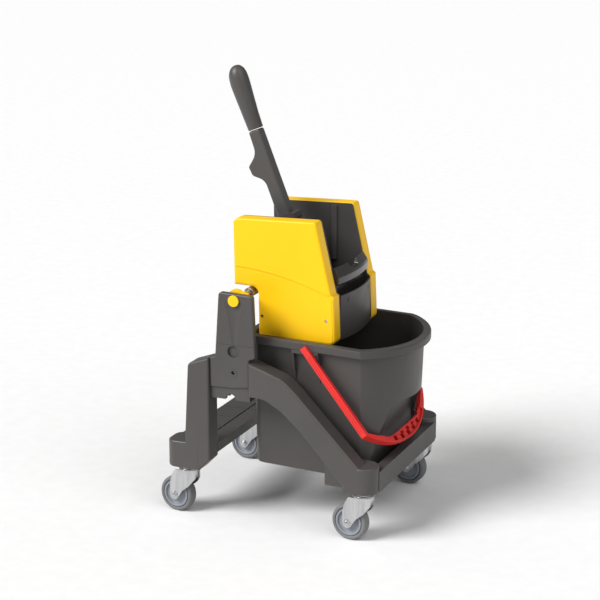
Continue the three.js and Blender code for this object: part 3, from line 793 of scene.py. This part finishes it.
# ---------- press covers ----------
PANEL_PROUD = 0.8
RIDGE_PROUD = 1.5
COVER = [
    (-111, 478),
    (-59, 477, 16),
    (-58, 377),
    (107, 375, 12),
    (103, 471),
    (97, 476),
    (64, 619, 7),
    (-104, 613.5, 5),
    (-113, 606),
]


def swoosh(lift):
    """The curve that crosses the cover's outer face, falling ever faster towards the front."""
    return [(x, 511.5 + lift - 40.5 * ((x + 116) / 205) ** 1.9) for x in range(-116, 125, 8)]


def cover(side):
    """A yellow press cover with its proud lower panel, the ridge over it and the screw holes."""
    shell = pillow(COVER, in_xz, *span(side, PRESS_IN, PRESS_OUT), 4.5, 10, 6)
    inner = inset(COVER, 4.8)
    lower = common(
        prism(
            [(-130, 360), (130, 360), *reversed(swoosh(0))],
            in_xz,
            *span(side, PRESS_OUT - 2, PRESS_OUT + PANEL_PROUD),
        ),
        prism(inner, in_xz, -200, 200, 10),
    )
    ridge = common(
        prism(
            [*swoosh(5), *reversed(swoosh(8.2))],
            in_xz,
            *span(side, PRESS_OUT - 2, PRESS_OUT + RIDGE_PROUD),
        ),
        prism(inner, in_xz, -200, 200, 10),
    )
    shell = join(shell, lower, ridge)
    bores = [rod(*at, 3.5, *span(side, PRESS_OUT - 4, PRESS_OUT + 3), 32) for at in SCREWS]
    return cut(shell, *bores)


for hand, side in SIDES:
    show(cover(side), f"press_cover_{hand}", YELLOW, bevel=0.6, segments=3)


# ---------- front jaw ----------
def jaw_lip():
    """The rolled lip, swept across the press along an arc that bulges forward."""
    section = rounded(
        [
            (85, 487, 1.5),
            (95, 486, 2.5),
            (98.5, 490, 2.5),
            (99, 503, 4),
            (97, 508, 3),
            (88, 521, 3),
            (84.5, 521.5, 1),
        ],
        5,
    )
    half_steps = 18
    rings = []
    for i in range(2 * half_steps + 1):
        share = i / half_steps - 1
        ahead = LIP_BULGE * (1 - share**2)
        rings.append([(p.x + ahead, JAW_HALF * share, p.y) for p in section])
    return loft(rings)


def front_jaw():
    """The slotted plate under its lip, with the dip for the mop's stick."""
    dip = [(-27, 530), (-17, 509, 9), (17, 509, 9), (27, 530)]
    holes = [
        block(
            (80, 91),
            (column * SLOT_PITCH - 3, column * SLOT_PITCH + 3),
            (398 + row * SLOT_PITCH, 410 + row * SLOT_PITCH),
        )
        for row in range(3)
        for column in range(-3, 4)
    ]
    plate = block((86, 90), (-JAW_HALF, JAW_HALF), (386, 500))
    return cut(join(plate, jaw_lip()), prism(dip, in_yz, 70, 130), *holes)


show(front_jaw(), "front_jaw", GLOSSY_DARK, bevel=1.6, segments=4)


# ---------- lever ----------
def leaned(made):
    """Takes a piece drawn upright over the jaw rod to its place on the leaning lever."""
    move = Matrix.Translation((JAW[0], 0, JAW[1]))
    made.data.transform(move @ Matrix.Rotation(-LEVER_LEAN, 4, "Y"))
    return made


def lever_arm():
    """The bar, with its hooked bump at the back and the neck that the grip sits on."""
    outline = [
        (-13.5, 21),
        (13.5, 21),
        (14, 269),
        (-11, 269),
        (-12.5, 223, 30),
        (-38, 203, 6),
        (-36, 184, 9),
        (-13.5, 167, 24),
    ]
    return leaned(prism(outline, in_xz, -LEVER_HALF, LEVER_HALF, 10))


def lever_grip():
    """A long teardrop grip with a rounded end."""
    # height, radius and how far the middle leans forward
    stations = [
        (270.3, 14.2, 2),
        (271.2, 15.4, 2),
        (285, 15.9, 2),
        (301, 16.5, 2),
        (320, 17.5, 2.5),
        (338, 18.5, 3),
        (355, 19.5, 3.6),
        (367, 19.9, 4),
        (377, 19.6, 4.6),
        (386, 18.3, 5.2),
        (393, 15.6, 5.8),
        (398.6, 11.6, 6.2),
        (402, 6.8, 6.5),
        (403, 2.4, 6.6),
    ]
    rings = [[(u, v, z) for u, v in circle(x, 0, radius, 40)] for z, radius, x in stations]
    return leaned(loft(rings))


show(lever_arm(), "lever_arm", LEVER_GREY, bevel=4.2, segments=5)
show(lever_grip(), "lever_grip", LEVER_GREY, bevel=0)


# ---------- every other solid keeps its CAD shape, with rounded edges ----------
for node, shape in frame["nodes"].items():
    if not shape.hide_render:
        material, width = LOOKS[SLOT_OF[node]]
        show(copy_of(node), node, material, bevel=width)


# ---------- floor, light and camera ----------
def studio():
    """A pale floor, a white surround, and soft light from the near left."""
    reach = (-30000, 30000)
    floor = block(reach, reach, (-20, 0))
    floor.name = "floor"
    floor.data.transform(Matrix.Scale(MM, 4))
    material, tree, surface = shader("floor")
    speckle = noise(tree, 30, 3)
    colour = ramp(tree, speckle, (0.82, 0.82, 0.82), (0.84, 0.84, 0.84))
    tree.links.new(colour.outputs["Color"], surface.inputs["Base Color"])
    surface.inputs["Roughness"].default_value = 0.9
    surface.inputs["Specular IOR Level"].default_value = 0.1
    floor.data.materials.append(material)
    world = bpy.data.worlds.new("studio")
    world.use_nodes = True
    nodes = world.node_tree.nodes
    links = world.node_tree.links
    around = nodes["Background"]
    around.inputs["Color"].default_value = (1, 1, 1, 1)
    around.inputs["Strength"].default_value = 0.25
    behind = nodes.new("ShaderNodeBackground")
    behind.inputs["Color"].default_value = (1, 1, 1, 1)
    seen = nodes.new("ShaderNodeLightPath")
    mix = nodes.new("ShaderNodeMixShader")
    links.new(seen.outputs["Is Camera Ray"], mix.inputs["Fac"])
    links.new(around.outputs["Background"], mix.inputs[1])
    links.new(behind.outputs["Background"], mix.inputs[2])
    links.new(mix.outputs["Shader"], nodes["World Output"].inputs["Surface"])
    bpy.context.scene.world = world
    lamps = [
        ("key", Vector((-1.0, -1.25, 1.35)), 3.5, 30),
        ("front", Vector((1.2, -0.6, 1.5)), 1.0, 50),
    ]
    for name, towards, strength, spread in lamps:
        light = bpy.data.lights.new(name, "SUN")
        light.energy = strength
        light.angle = math.radians(spread)
        lamp = bpy.data.objects.new(name, light)
        lamp.location = towards
        lamp.rotation_mode = "QUATERNION"
        lamp.rotation_quaternion = towards.to_track_quat("Z", "Y")
        bpy.context.scene.collection.objects.link(lamp)


def camera():
    """The view of the photograph: the camera's place, its direction and its long lens."""
    azimuth = math.radians(23.6)
    elevation = math.radians(15.37)
    back = Vector(
        (
            math.sin(azimuth) * math.cos(elevation),
            -math.cos(azimuth) * math.cos(elevation),
            math.sin(elevation),
        )
    )
    seen = bpy.data.cameras.new("camera")
    seen.lens = 107.0
    seen.sensor_width = 36
    made = bpy.data.objects.new("camera", seen)
    made.location = (1.382, -3.205, 1.388)
    made.rotation_mode = "QUATERNION"
    made.rotation_quaternion = (-back).to_track_quat("-Z", "Y")
    bpy.context.scene.collection.objects.link(made)
    bpy.context.scene.camera = made


studio()
camera()
bpy.context.scene.view_settings.view_transform = "Standard"
